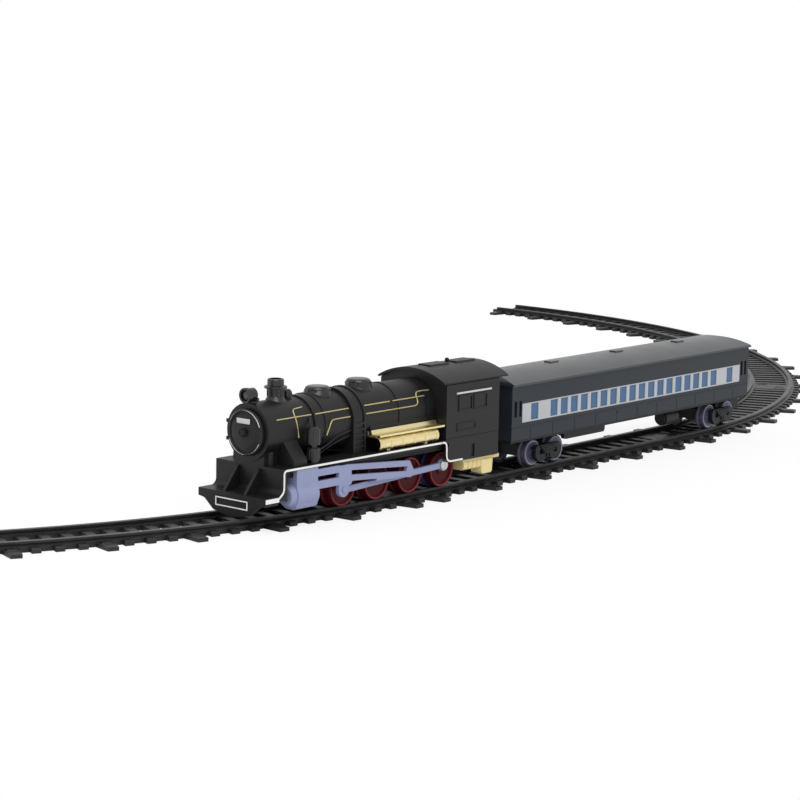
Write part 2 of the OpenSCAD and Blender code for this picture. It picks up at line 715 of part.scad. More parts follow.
// Main rod from the crosshead to the crank pin of the rear driving wheel
module main_rod() {
    len_x = boss_x - pin_x;
    slope = atan2(pin_z - boss_z, -len_x);
    difference() {
        union() {
            rod_y(2.4, boss_x, rod_out - rod_t, rod_out, boss_z);
            rod_y(2.5, pin_x, rod_out - rod_t, rod_out, pin_z);
            across_y(rod_out - rod_t, rod_out)
                polygon([[boss_x, boss_z - 2.1], [boss_x, boss_z + 0.5], [pin_x, pin_z + 1.2], [pin_x, pin_z - 1.2]]);
        }
        rod_y(pin_r + running_gap, pin_x, rod_out - rod_t - 1, rod_out + 1, pin_z);
        rod_y(0.9, boss_x, rod_out - rod_t - 1, rod_out + 1, boss_z);
    }
}

module left_main_rod() { color([0.62, 0.64, 0.80]) on_loco() main_rod(); }
module right_main_rod() { color([0.62, 0.64, 0.80]) on_loco() mirror([0, 1, 0]) main_rod(); }

// ---------- chassis and drive ----------

module chassis() {
    plate = deck_top - deck_h;
    cheek = axle_seat - 1.7;
    low = driver_z - 3.4;
    color([0.10, 0.10, 0.11]) on_loco() difference() {
        union() {
            block(cab_rear + 1.4, board_front - 0.2, -deck_half, deck_half, plate, deck_top);
            both_sides() block(cheek_rear, cheek_front, cheek, axle_seat, low, plate + eps);
            block(cheek_front - 1.6, cheek_front, -axle_seat, axle_seat, low, plate + eps);
            both_sides() for (x = axle_x) rod_y(2.1, x, axle_seat - 3, axle_seat, driver_z);
            for (x = screw_x) translate([x, 0, plate - 6.5]) cylinder(r = 2.4, h = 7);
        }
        for (x = axle_x) rod_y(axle_r + running_gap, x, -20, 20, driver_z);
        // gear well and the motor's seat
        block(motor_x - 3, -26, -4.8, 4.8, plate - 1, deck_top + 1);
        across_y(-15.1, -0.4) motor_shape(0.1);
        for (x = screw_x) translate([x, 0, 0]) cylinder(r = screw_r + 0.05, h = 40);
        rod_y(0.8 + running_gap, idler_x, -10, 10, idler_z);
    }
}

// Cream underframe below the cab, with the step block on each side
module cab_underframe() {
    color([0.86, 0.80, 0.58]) on_loco() difference() {
        union() {
            block(cab_rear + 1.3, cab_rear + 24.6, -17.4, 17.4, 14.2, 15.7);
            block(cab_rear - 2.4, cab_rear + 1.4, -17.4, 17.4, 14.2, 15.7);
            both_sides() along_x(cab_rear + 9, cab_rear + 22)
                polygon([[11, 14.3], [17.6, 14.3], [17.6, 11.6], [16.4, 10.8], [11, 10.8]]);
            both_sides() across_y(12, 18)
                polygon([[cab_rear + 2.6, 14.3], [cab_rear + 10.6, 14.3], [cab_rear + 10.2, 8.9],
                    [cab_rear + 9.4, 8.1], [cab_rear + 3.8, 8.1], [cab_rear + 3, 8.9]]);
            both_sides() for (x = [cab_rear + 12, cab_rear + 15, cab_rear + 18])
                block(x, x + 1, 17.5, 18, 11.4, 14.2);
            translate([hitch_x, 0, hitch_z - 0.7]) cylinder(r = hitch_r, h = 3);
            for (y = [14]) translate([cab_rear + 19, y, 15.6]) cylinder(r = 1.4, h = deck_top - deck_h - 15.6);
            for (y = [-14, 14]) translate([cab_rear + 5, y, 15.6]) cylinder(r = 1.4, h = deck_top - deck_h - 15.6);
        }
        both_sides() rod_y(driver_r + flange_h + free_gap, axle_x[3], wheel_back - free_gap, 20, driver_z);
        block(cheek_rear - 0.3, -20, -8, 8, 10, 20);
        translate([screw_x[0], 0, 0]) cylinder(r = 2.7, h = 40);
        block(switch_x - 1.8, switch_x + 1.8, -4.4, 4.4, 10, 20);
    }
}

module battery_cell() {
    color([0.55, 0.57, 0.60]) on_loco() union() {
        rod_x(cell_r, cell_front - cell_len, cell_front - 1.2, 0, boiler_z);
        rod_x(2.7, cell_front - 1.3, cell_front, 0, boiler_z);
    }
}

// Sprung leaf behind the cell and the flat plate inside the door end
module battery_contacts() {
    x = cell_front - cell_len;
    color([0.75, 0.75, 0.72]) on_loco() union() {
        rod_x(tube_r - 0.4, x - 3.2, x - 2.7, 0, boiler_z);
        translate([x - 2.75, 0, boiler_z]) rotate([0, 90, 0]) difference() {
            cylinder(r1 = 4.6, r2 = 2.4, h = 2.7);
            translate([0, 0, -0.1]) cylinder(r1 = 4.2, r2 = 2, h = 3);
        }
    }
}

module motor_shape(gap) {
    for (dx = [-2, 2]) translate([motor_x + dx, motor_z]) circle(r = 5.75 + gap);
    translate([motor_x - 2, motor_z - 5.75 - gap]) square([4, 11.5 + 2 * gap]);
}

module motor() {
    color([0.70, 0.70, 0.72]) on_loco() difference() {
        union() {
            across_y(-15, -1.4) motor_shape(0);
            rod_y(1.9, motor_x, -1.5, -0.8, motor_z);
        }
        rod_y(0.5 + running_gap, motor_x, -18, 2, motor_z);
    }
}

// Spur gear outline with straight-flanked teeth, centred on a tooth at the given angle
module spur(teeth, start) {
    r = gear_module * teeth / 2;
    tip = r + gear_module * 0.9;
    root = r - gear_module * 1.15;
    step = 360 / teeth;
    rotate(start) polygon([for (i = [0:teeth - 1]) for (p = [[-0.36, root], [-0.14, tip], [0.14, tip], [0.36, root]])
        p[1] * [cos((i + p[0]) * step), sin((i + p[0]) * step)]]);
}

module gear_y(teeth, start, x, y0, y1, z) {
    translate([x, 0, z]) across_y(y0, y1) spur(teeth, start);
}

module motor_pinion() {
    color([0.90, 0.88, 0.80]) on_loco() union() {
        rod_y(0.5, motor_x, -14.8, 1.6, motor_z);
        gear_y(pinion_teeth, 325 + 180 / pinion_teeth, motor_x, -0.5, 1.1, motor_z);
    }
}

module idler_gear() {
    color([0.92, 0.92, 0.90]) on_loco() union() {
        rod_y(0.8, idler_x, -axle_seat, axle_seat, idler_z);
        gear_y(idler_large, 145, idler_x, -0.6, 1.2, idler_z);
        gear_y(idler_small, 309 + 180 / idler_small, idler_x, 1.19, 3.6, idler_z);
    }
}

module axle_gear() {
    color([0.92, 0.92, 0.90]) on_loco() difference() {
        gear_y(axle_teeth, 129, axle_x[3], 1.6, 3.4, driver_z);
        rod_y(axle_r, axle_x[3], 1, 4, driver_z);
    }
}

// Driving wheel on its own axis: flange, tread, raised rim, dished face and hub
driver_dish = 0.9;

module driver_wheel() {
    difference() {
        rotate([-90, 0, 0]) rotate_extrude()
            polygon([[0, wheel_back], [driver_r + flange_h, wheel_back], [driver_r + flange_h, flange_out - 0.4],
                [driver_r, flange_out], [driver_r, wheel_face - 0.3], [driver_r - 0.3, wheel_face],
                [driver_r - 0.9, wheel_face], [driver_r - 1.2, wheel_face - driver_dish],
                [2.4, wheel_face - driver_dish], [2.2, wheel_face - 0.3], [0, wheel_face - 0.3]]);
        rotate([-90, 0, 0]) translate([0, 0, wheel_back - 1]) cylinder(r = axle_r, h = 10);
    }
}

module driver_pair(x) {
    translate([x, 0, driver_z]) {
        both_sides() driver_wheel();
        rotate([-90, 0, 0]) translate([0, 0, -wheel_face + 0.6]) cylinder(r = axle_r, h = 2 * wheel_face - 1.2);
    }
}

module driver_axle_1() { color([0.42, 0.08, 0.10]) on_loco() driver_pair(axle_x[0]); }
module driver_axle_2() { color([0.42, 0.08, 0.10]) on_loco() driver_pair(axle_x[1]); }
module driver_axle_3() { color([0.42, 0.08, 0.10]) on_loco() driver_pair(axle_x[2]); }
module driver_axle_4() {
    color([0.16, 0.15, 0.36]) on_loco() difference() {
        driver_pair(axle_x[3]);
        both_sides() rod_y(pin_r + 0.02, pin_x, wheel_face - 2.4, wheel_face + 1, pin_z);
    }
}

// Shouldered pins that hold the main rods on the rear driving wheels
module crank_pins() {
    color([0.80, 0.80, 0.82]) on_loco() both_sides() union() {
        rod_y(pin_r, pin_x, wheel_face - 2.38, rod_out + 0.3, pin_z);
        rod_y(1.4, pin_x, wheel_face - driver_dish + 0.02, rod_out - rod_t - 0.25, pin_z);
        translate([pin_x, rod_out + 0.15, pin_z]) rotate([-90, 0, 0]) rotate_extrude()
            polygon([[0, 0], [2.3, 0], [2.3, 0.4], [1.9, 0.75], [0, 0.85]]);
    }
}

// Slide switch that stands out below the cab floor
module power_switch() {
    color([0.75, 0.12, 0.10]) on_loco() translate([switch_x, -switch_travel / 2, 0]) union() {
        block(-1.4, 1.4, -2, 2, 13, 16.2);
        block(-2.3, 2.3, -2.6, 2.6, 15.95, 16.9);
        for (y = [-1.7, -0.35, 1]) block(-1.4, 1.4, y, y + 0.7, 12.4, 13.1);
    }
}

module chassis_screws() {
    color([0.72, 0.72, 0.74]) on_loco() for (x = screw_x) translate([x, 0, deck_top - deck_h - 8])
        difference() {
            union() {
                cylinder(r = 2, h = 1.4);
                translate([0, 0, 1.3]) cylinder(r = screw_r, h = 8.6);
            }
            translate([-0.3, -1.4, -1]) cube([0.6, 2.8, 1.5]);
        }
}

// Drawbar: an eye on the locomotive's hitch pin and a loop over the coach's pin
hitch_x = -59.8;
hitch_r = 1.2;
hitch_z = 12.2;
bar_t = 1.5;
coach_pin_x = coach_len / 2 - 4;
function turned(p, a) = [p[0] * cos(a) - p[1] * sin(a), p[0] * sin(a) + p[1] * cos(a)];
hitch_at = [loco_x, loco_y] + turned([hitch_x, 0], 180 - loco_turn);
coach_pin_at = [coach_x, coach_y] + turned([coach_pin_x, 0], 180 + coach_turn);
bar_run = coach_pin_at - hitch_at;
bar_len = norm(bar_run);
bar_angle = atan2(bar_run[1], bar_run[0]);
loop_x = 2.4;
loop_y = 3.3;

module drawbar() {
    color([0.14, 0.14, 0.15]) translate([hitch_at[0], hitch_at[1], hitch_z]) rotate([0, 0, bar_angle])
        difference() {
            linear_extrude(bar_t) union() {
                circle(r = 2.7);
                polygon([[0, -1.6], [bar_len - loop_x, -2.2], [bar_len - loop_x, 2.2], [0, 1.6]]);
                translate([bar_len - loop_x - 1.2, -loop_y - 1.2]) square([2 * loop_x + 2.4, 2 * loop_y + 2.4]);
            }
            translate([0, 0, -1]) cylinder(r = hitch_r + running_gap, h = 4);
            translate([bar_len - loop_x, -loop_y, -1]) cube([2 * loop_x, 2 * loop_y, 4]);
        }
}

// ---------- coach ----------

half_coach = coach_len / 2;
side_panel = 20.4;
window_count = floor((coach_len - 2 * (side_panel + band_margin)) / window_pitch);
strip_t = 0.4;
strip_out = 0.1;
pane_t = 0.7;
window_w = 5.6;
slit_x = [half_coach - 6.2, half_coach - 2.8];
underframe_low = coach_bottom - 1.4;
bogie_at = [half_coach - front_inset, rear_inset - half_coach];
panel_pitch = 17.1;

function band_len() = window_count * window_pitch + 2 * side_panel;

module coach_body() {
    w = coach_half_w;
    color([0.25, 0.27, 0.31]) on_coach() difference() {
        union() {
            block(-half_coach, half_coach, -w, w, coach_bottom, coach_eave);
            // belt rail below the windows
            both_sides() block(-half_coach, half_coach, w - eps, w + 0.25, window_z - 2.3, window_z - 1.7);
        }
        block(shell_wall - half_coach, half_coach - shell_wall, shell_wall - w, w - shell_wall,
            coach_bottom - 1, coach_eave + 1);
        both_sides() block(-band_len() / 2, band_len() / 2, w - shell_wall - 1, w + 1, window_z, window_z + window_h);
        both_sides() for (s = [-1, 1]) for (x = slit_x)
            block(s * x - 0.9, s * x + 0.9, w - shell_wall - 0.2, w + 1, window_z + 3, window_z + window_h + 1.4);
        // panel joints below the belt rail and on the end walls
        both_sides() for (i = [-5:5]) block(i * panel_pitch - 0.15, i * panel_pitch + 0.15, w - 0.3, w + 1, coach_bottom - 1, window_z - 2.6);
        for (s = [-1, 1]) block(s * half_coach - 0.5, s * half_coach + 0.5, -4.2, 4.2, 20.6, 38.6);
    }
}

// White strip that fills the window opening, pierced for every pane
module window_strip() {
    w = coach_half_w;
    y1 = w - strip_out;
    across_y(y1 - strip_t, y1) difference() {
        translate([-band_len() / 2, window_z]) square([band_len(), window_h]);
        for (i = [0:window_count - 1])
            translate([(i + 0.5 - window_count / 2) * window_pitch - window_w / 2, window_z + 0.6])
                square([window_w, window_h - 1.2]);
        for (s = [-1, 1]) translate([s * (window_count * window_pitch / 2 + 10.9) - window_w / 2, window_z + 0.6])
            square([window_w, window_h - 1.2]);
    }
}

// Clear strip: a flange inside the wall and a raised pad that fills the opening behind the white strip
module glazing() {
    y1 = coach_half_w - shell_wall;
    pad = coach_half_w - strip_out - strip_t;
    union() {
        block(-band_len() / 2 - 1, band_len() / 2 + 1, y1 - pane_t, y1, window_z - 1, window_z + window_h + 1);
        block(-band_len() / 2, band_len() / 2, y1 - eps, pad, window_z, window_z + window_h);
    }
}

module left_window_strip() { color([0.80, 0.82, 0.84]) on_coach() window_strip(); }
module right_window_strip() { color([0.80, 0.82, 0.84]) on_coach() mirror([0, 1, 0]) window_strip(); }
module left_glazing() { color([0.36, 0.50, 0.63]) on_coach() glazing(); }
module right_glazing() { color([0.36, 0.50, 0.63]) on_coach() mirror([0, 1, 0]) glazing(); }

// Arched roof with a straight lip and rounded ends
module coach_roof() {
    w = coach_half_w + 1;
    lip = 1;
    rise = coach_top - coach_eave - lip;
    r = (w * w + rise * rise) / (2 * rise);
    x1 = half_coach + 0.8;
    color([0.42, 0.44, 0.47]) on_coach() difference() {
        union() {
            intersection() {
                along_x(-x1, x1) intersection() {
                    translate([0, coach_top - r]) circle(r = r, $fn = 180);
                    translate([-w, coach_eave]) square([2 * w, 12]);
                }
                across_y(-w - 1, w + 1) {
                    translate([-x1, coach_eave - 1]) square([2 * x1, 1.6]);
                    translate([-x1 + 6, coach_eave - 1]) square([2 * x1 - 12, 12]);
                    for (s = [-1, 1]) intersection() {
                        translate([s * (x1 - 6), coach_top - 6]) circle(r = 6);
                        translate([-x1, coach_eave]) square([2 * x1, 8]);
                    }
                }
            }
            // flush ventilators along the ridge
            for (x = [-60, -6.8, 46.4]) along_x(x - 3, x + 3)
                polygon([[-2.4, coach_top - 0.6], [2.4, coach_top - 0.6], [1.8, coach_top + 0.5], [-1.8, coach_top + 0.5]]);
        }
        // hollow under the arch
        along_x(-x1 + 3, x1 - 3) intersection() {
            translate([0, coach_top - r - 1.3]) circle(r = r, $fn = 180);
            translate([-w + 2.4, coach_eave - 1]) square([2 * w - 4.8, 12]);
        }
    }
}

// Floor with the bogie bosses, the coupling post and the ribs that hold the boxes
rib_x = [-40, 36];
side_tank_x = [-42, -31.4];
module coach_floor() {
    w = coach_half_w - shell_wall - 0.05;
    x1 = half_coach - shell_wall - 0.05;
    color([0.13, 0.13, 0.14]) on_coach() difference() {
        union() {
            block(-x1, x1, -w, w, underframe_low, coach_bottom + 0.6);
            for (x = bogie_at) translate([x, 0, bolster_top + 0.3]) cylinder(r = 4, h = underframe_low - bolster_top);
            translate([coach_pin_x, 0, hitch_z + bar_t + 0.4]) cylinder(r = 2.2, h = underframe_low - hitch_z - bar_t);
            translate([coach_pin_x, 0, hitch_z - 0.6]) cylinder(r = hitch_r, h = 4);
            both_sides() block(rib_x[0], rib_x[1], 4.4, 5.6, underframe_low - 1.4, underframe_low + eps);
        }
        for (x = bogie_at) translate([x, 0, 5]) cylinder(r = 1.3, h = 20);
    }
}

// Long equipment box with rounded lower corners
module underfloor_box() {
    color([0.15, 0.16, 0.18]) on_coach() both_sides() difference() {
        across_y(6.2, 14.6) {
            translate([22.4, 16.2]) square([32.8, underframe_low - 16.2]);
            translate([24, 14.6]) square([29.6, 1.7]);
            for (x = [24, 53.6]) translate([x, 16.2]) circle(r = 1.6);
        }
        // room for the front bogie's trailing wheels
        block(bogie_at[0] - bogie_base / 2 - coach_wheel_r - 3, 60, 6, 12.6, 14, 20);
    }
}

// Round air tanks slung below the floor, with their end caps
module underfloor_tank() {
    color([0.15, 0.16, 0.18]) on_coach() both_sides() union() {
        rod_x(3.6, side_tank_x[0], side_tank_x[1], 10.6, underframe_low - 3.65);
        rod_x(3, side_tank_x[0] - 1, side_tank_x[1] + 1, 10.6, underframe_low - 3.65);
        block(side_tank_x[0] + 1, side_tank_x[1] - 1, 8.6, 12.6, underframe_low - 2, underframe_low);
    }
}

// ---------- bogies ----------

bolster_top = 15.4;
bogie_turn = [0, 2.1];
coach_face = flange_out + 2.6;
side_in = coach_face + 0.55;
side_out = side_in + 2;

module on_bogie(i) {
    on_coach() translate([bogie_at[i], 0, 0]) rotate([0, 0, bogie_turn[i]]) children();
}

// One bogie: bolster, inside bearings, and outside frames with springs over the trailing wheels
module bogie() {
    hub = bogie_base / 2;
    cheek = axle_seat;
    difference() {
        union() {
            translate([0, 0, bolster_top - 2.4]) cylinder(r = 4.6, h = 2.4);
            block(-hub - 3, hub + 3, -cheek, cheek, 12.4, 13.8);
            both_sides() block(-hub - 3, hub + 3, cheek - 1.8, cheek, coach_axle_z - 1.9, 13.8);
            for (x = [-hub - 3, hub + 1.8]) block(x, x + 1.2, -cheek, cheek, coach_axle_z - 1.9, 13.8);
            // arm out to the side frames, between the wheels
            block(-1.2, 1.4, -side_out + 0.5, side_out - 0.5, 11.6, 13.8);
            both_sides() across_y(side_in, side_out) difference() {
                polygon([[8.6, 13.8], [-8.6, 13.8], [-9.8, 12.4], [-9.8, 9], [-7.6, 6.4], [-3.4, 6.4],
                    [-2, 7.6], [2, 7.6], [3.4, 6.4], [7.6, 6.4], [9.8, 9], [9.8, 12.4]]);
                for (x = [-6.6, 3.8]) translate([x, 9.6]) square([2.8, 2.2]);
            }
            // leaf spring between the openings
            both_sides() {
                for (k = [0:3]) block(-6.4 + k, 6.4 - k, side_out - eps, side_out + 0.7, 12.6 - k * 0.9, 13.2 - k * 0.9);
                for (x = [-1.4, 0.5]) block(x, x + 0.9, side_out - eps, side_out + 0.6, 8, 13.2);
            }
        }
        for (x = [-hub, hub]) rod_y(axle_r + running_gap, x, -cheek - 1, cheek + 1, coach_axle_z);
        translate([0, 0, 5]) cylinder(r = 1.3 + running_gap, h = 20);
    }
}

module front_bogie() { color([0.12, 0.12, 0.13]) on_bogie(0) bogie(); }
module rear_bogie() { color([0.12, 0.12, 0.13]) on_bogie(1) bogie(); }

// Shouldered screws that the bogies swing on
module bogie_screws() {
    color([0.72, 0.72, 0.74]) for (x = bogie_at) on_coach() translate([x, 0, 0]) difference() {
        union() {
            translate([0, 0, 9.6]) cylinder(r = 2.2, h = 1.7);
            translate([0, 0, 11.2]) cylinder(r = 1.3, h = 8.4);
        }
        translate([-0.3, -1.6, 9]) cube([0.6, 3.2, 1.4]);
    }
}

// Coach wheel: flange, coned tread, dished face and hub
module coach_wheel() {
    rotate([-90, 0, 0]) rotate_extrude()
        polygon([[0, wheel_back], [coach_wheel_r + flange_h, wheel_back],
            [coach_wheel_r + flange_h, flange_out - 0.4], [coach_wheel_r, flange_out],
            [coach_wheel_r, coach_face - 0.3], [coach_wheel_r - 0.3, coach_face], [coach_wheel_r - 0.9, coach_face],
            [coach_wheel_r - 1.3, coach_face - 0.9], [2.4, coach_face - 0.9], [2.2, coach_face - 0.2],
            [0, coach_face - 0.2]]);
}

module coach_axle(i, x) {
    color([0.45, 0.45, 0.56]) on_bogie(i) translate([x, 0, coach_axle_z]) union() {
        both_sides() coach_wheel();
        rod_y(axle_r, 0, -coach_face + 1, coach_face - 1, 0);
    }
}

module coach_axle_1() { coach_axle(0, bogie_base / 2); }
module coach_axle_2() { coach_axle(0, -bogie_base / 2); }
module coach_axle_3() { coach_axle(1, bogie_base / 2); }
module coach_axle_4() { coach_axle(1, -bogie_base / 2); }

// Hook block behind the coach, carried on the floor by its shank
module rear_coupler() {
    color([0.12, 0.12, 0.13]) on_coach() difference() {
        union() {
            block(-half_coach + 1.3, -half_coach + 4, -3, 3, 13.9, underframe_low);
            block(-half_coach - 8, -half_coach + 4, -1.6, 1.6, 10.6, 14);
            block(-half_coach - 13.6, -half_coach - 6, -4, 4, 9.4, 14.4);
        }
        block(-half_coach - 11.4, -half_coach - 8.4, -2.2, 2.2, 8, 16);
        block(-half_coach - 14, -half_coach - 11, -1.2, 1.2, 8, 16);
    }
}

track_straight();
track_left_curve();
track_right_curve_1();
track_right_curve_2();
track_right_curve_3();
boiler();
smokebox_door();
headlight();
chimney();
bell();
sand_dome();
steam_dome();
cab();
cab_roof();
running_board();
front_deck();
left_air_tank();
right_air_tank();
left_tank_shelf();
right_tank_shelf();
air_pump();
left_cylinder();
right_cylinder();
chassis();
cab_underframe();
battery_cell();
battery_contacts();
motor();
motor_pinion();
idler_gear();
driver_axle_1();
driver_axle_2();
driver_axle_3();
driver_axle_4();
axle_gear();
left_main_rod();
right_main_rod();
crank_pins();
power_switch();
chassis_screws();
drawbar();
coach_body();
coach_roof();
coach_floor();
left_window_strip();
right_window_strip();
left_glazing();
right_glazing();
underfloor_box();
underfloor_tank();
front_bogie();
rear_bogie();
coach_axle_1();
coach_axle_2();
coach_axle_3();
coach_axle_4();
bogie_screws();
rear_coupler();
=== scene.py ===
import bmesh
import bpy
import json
import math
from mathutils import Matrix, Vector


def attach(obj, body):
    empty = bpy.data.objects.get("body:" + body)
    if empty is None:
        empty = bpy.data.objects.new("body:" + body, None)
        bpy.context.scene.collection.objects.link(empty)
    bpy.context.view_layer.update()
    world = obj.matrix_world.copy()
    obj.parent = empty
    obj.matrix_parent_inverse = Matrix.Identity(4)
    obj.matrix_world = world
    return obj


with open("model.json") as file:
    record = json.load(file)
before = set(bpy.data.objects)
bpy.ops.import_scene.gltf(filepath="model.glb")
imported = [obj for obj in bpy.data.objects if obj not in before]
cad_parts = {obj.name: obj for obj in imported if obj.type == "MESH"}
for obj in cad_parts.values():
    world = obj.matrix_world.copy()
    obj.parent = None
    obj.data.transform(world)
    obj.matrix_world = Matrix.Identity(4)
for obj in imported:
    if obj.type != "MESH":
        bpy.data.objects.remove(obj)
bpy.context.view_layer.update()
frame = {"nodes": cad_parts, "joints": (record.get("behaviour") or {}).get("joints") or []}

# The camera stands low in front of the train and to its left, a long way off behind a long lens.
# It leans about one degree, as a hand-set tripod does.
eye = Vector((-0.9134, -0.6654, 0.2044))
heading, dip, lean = math.radians(50.793), math.radians(8.759), math.radians(1.084)
ahead = Vector((math.sin(heading) * math.cos(dip), math.cos(heading) * math.cos(dip),
                -math.sin(dip)))
level = Vector((math.cos(heading), -math.sin(heading), 0))
upright = level.cross(ahead)
side = math.cos(lean) * level + math.sin(lean) * upright
over = math.cos(lean) * upright - math.sin(lean) * level
lens = bpy.data.cameras.new("camera")
lens.sensor_width = 36
lens.lens = 111.82
lens.clip_start = 0.05
lens.clip_end = 20
camera = bpy.data.objects.new("camera", lens)
camera.matrix_world = Matrix.Translation(eye) @ Matrix((side, over, -ahead)).transposed().to_4x4()
bpy.context.scene.collection.objects.link(camera)
bpy.context.scene.camera = camera

# The table is a wide white sheet that runs out of sight under a white sky of soft light.
# Away from the train it glows plain white to the camera, so that no horizon shows.
def add_node(tree, kind, settings=None, operation=None):
    node = tree.nodes.new("ShaderNode" + kind)
    if operation:
        node.operation = operation
    for socket, value in (settings or {}).items():
        node.inputs[socket].default_value = value
    return node


table_half_width = 6
glow_start, glow_full, glow_near = 0.15, 0.4, 0.8
sheet = bpy.data.materials.new("pale_table")
sheet.use_nodes = True
sheet_tree = sheet.node_tree
sheet_shader = sheet_tree.nodes["Principled BSDF"]
sheet_shader.inputs["Base Color"].default_value = (0.93, 0.93, 0.93, 1)
sheet_shader.inputs["Roughness"].default_value = 0.9
sheet_shader.inputs["Specular IOR Level"].default_value = 0.0
sheet_glow = add_node(sheet_tree, "Emission", {"Strength": 1.0})
sheet_path = add_node(sheet_tree, "LightPath")
sheet_place = add_node(sheet_tree, "TexCoord")
sheet_far = add_node(sheet_tree, "VectorMath", operation="LENGTH")
sheet_fade = add_node(sheet_tree, "MapRange",
                      {"From Min": glow_start, "From Max": glow_full, "To Min": glow_near})
sheet_seen = add_node(sheet_tree, "Math", operation="MULTIPLY")
sheet_mix = add_node(sheet_tree, "MixShader")
join = sheet_tree.links.new
join(sheet_place.outputs["Object"], sheet_far.inputs[0])
join(sheet_far.outputs["Value"], sheet_fade.inputs["Value"])
join(sheet_fade.outputs["Result"], sheet_seen.inputs[0])
join(sheet_path.outputs["Is Camera Ray"], sheet_seen.inputs[1])
join(sheet_seen.outputs[0], sheet_mix.inputs[0])
join(sheet_shader.outputs[0], sheet_mix.inputs[1])
join(sheet_glow.outputs[0], sheet_mix.inputs[2])
join(sheet_mix.outputs[0], sheet_tree.nodes["Material Output"].inputs["Surface"])
bm = bmesh.new()
bmesh.ops.create_grid(bm, x_segments=1, y_segments=1, size=table_half_width)
table_mesh = bpy.data.meshes.new("table")
bm.to_mesh(table_mesh)
bm.free()
table_mesh.materials.append(sheet)
table = bpy.data.objects.new("table", table_mesh)
bpy.context.scene.collection.objects.link(table)

# The sky is an even white all round. It looks full white to the camera and lights the train a
# little less than that, so that pale parts keep their tone.
sky_power = 0.85
sky = bpy.data.worlds.new("sky")
bpy.context.scene.world = sky
sky.use_nodes = True
sky_tree = sky.node_tree
sky_light = sky_tree.nodes["Background"]
sky_light.inputs["Color"].default_value = (1, 1, 1, 1)
sky_light.inputs["Strength"].default_value = sky_power
sky_seen = add_node(sky_tree, "Background", {"Color": (1, 1, 1, 1), "Strength": 1.0})
sky_pick = add_node(sky_tree, "MixShader")
sky_path = add_node(sky_tree, "LightPath")
join = sky_tree.links.new
join(sky_path.outputs["Is Camera Ray"], sky_pick.inputs[0])
join(sky_light.outputs[0], sky_pick.inputs[1])
join(sky_seen.outputs[0], sky_pick.inputs[2])
join(sky_pick.outputs[0], sky_tree.nodes["World Output"].inputs["Surface"])
bpy.context.scene.view_settings.view_transform = "Standard"

# One large round lamp hangs high in front of the train, on the camera's side. It gives the
# barrel, the domes and the roofs their soft highlights.
key_width, key_power = 1.6, 20
key_place, key_aim = Vector((-1.0, -1.0, 1.9)), Vector((0, 0.1, 0))
key = bpy.data.lights.new("key", "AREA")
key.shape = "DISK"
key.size = key_width
key.energy = key_power
key_lamp = bpy.data.objects.new("key", key)
key_lamp.location = key_place
key_lamp.rotation_euler = (key_aim - key_place).to_track_quat("-Z", "Y").to_euler()
bpy.context.scene.collection.objects.link(key_lamp)


# Track sections are black moulded plastic with a fine satin skin, clipped end to end. The rail
# heads are painted lighter, partly for wear by the wheels and partly as a painted sheen, and the
# sleepers stay dull.
def moulded(name, colour, roughness, shine=0.35, mottle=0.12, grain=1400.0, relief=0.12, metal=0.0):
    # a soft cloud shifts the tone and the gloss a little, and a fine grain roughens the skin
    cloud_scale, grain_depth = 70, 0.0002
    finish = bpy.data.materials.new(name)
    finish.use_nodes = True
    tree = finish.node_tree
    shader = tree.nodes["Principled BSDF"]
    place = add_node(tree, "TexCoord")
    cloud = add_node(tree, "TexNoise", {"Scale": cloud_scale, "Detail": 3})
    tone = add_node(tree, "ValToRGB")
    darker, lighter = tone.color_ramp.elements
    darker.position, lighter.position = 0.3, 0.7
    darker.color = [c * (1 - mottle) for c in colour] + [1]
    lighter.color = [min(1, c * (1 + mottle)) for c in colour] + [1]
    skin = add_node(tree, "TexNoise", {"Scale": grain, "Detail": 2})
    wear = add_node(tree, "MapRange", {"To Min": roughness - 0.06, "To Max": roughness + 0.08})
    bump = add_node(tree, "Bump", {"Strength": relief, "Distance": grain_depth})
    join = tree.links.new
    join(place.outputs["Object"], cloud.inputs["Vector"])
    join(place.outputs["Object"], skin.inputs["Vector"])
    join(cloud.outputs["Fac"], tone.inputs["Fac"])
    join(cloud.outputs["Fac"], wear.inputs["Value"])
    join(tone.outputs["Color"], shader.inputs["Base Color"])
    join(wear.outputs["Result"], shader.inputs["Roughness"])
    join(skin.outputs["Fac"], bump.inputs["Height"])
    join(bump.outputs["Normal"], shader.inputs["Normal"])
    shader.inputs["Specular IOR Level"].default_value = shine
    shader.inputs["Metallic"].default_value = metal
    return finish


def paint_nodes(finish, *names):
    for name in names:
        slots = frame["nodes"][name].data.materials
        slots.clear()
        slots.append(finish)


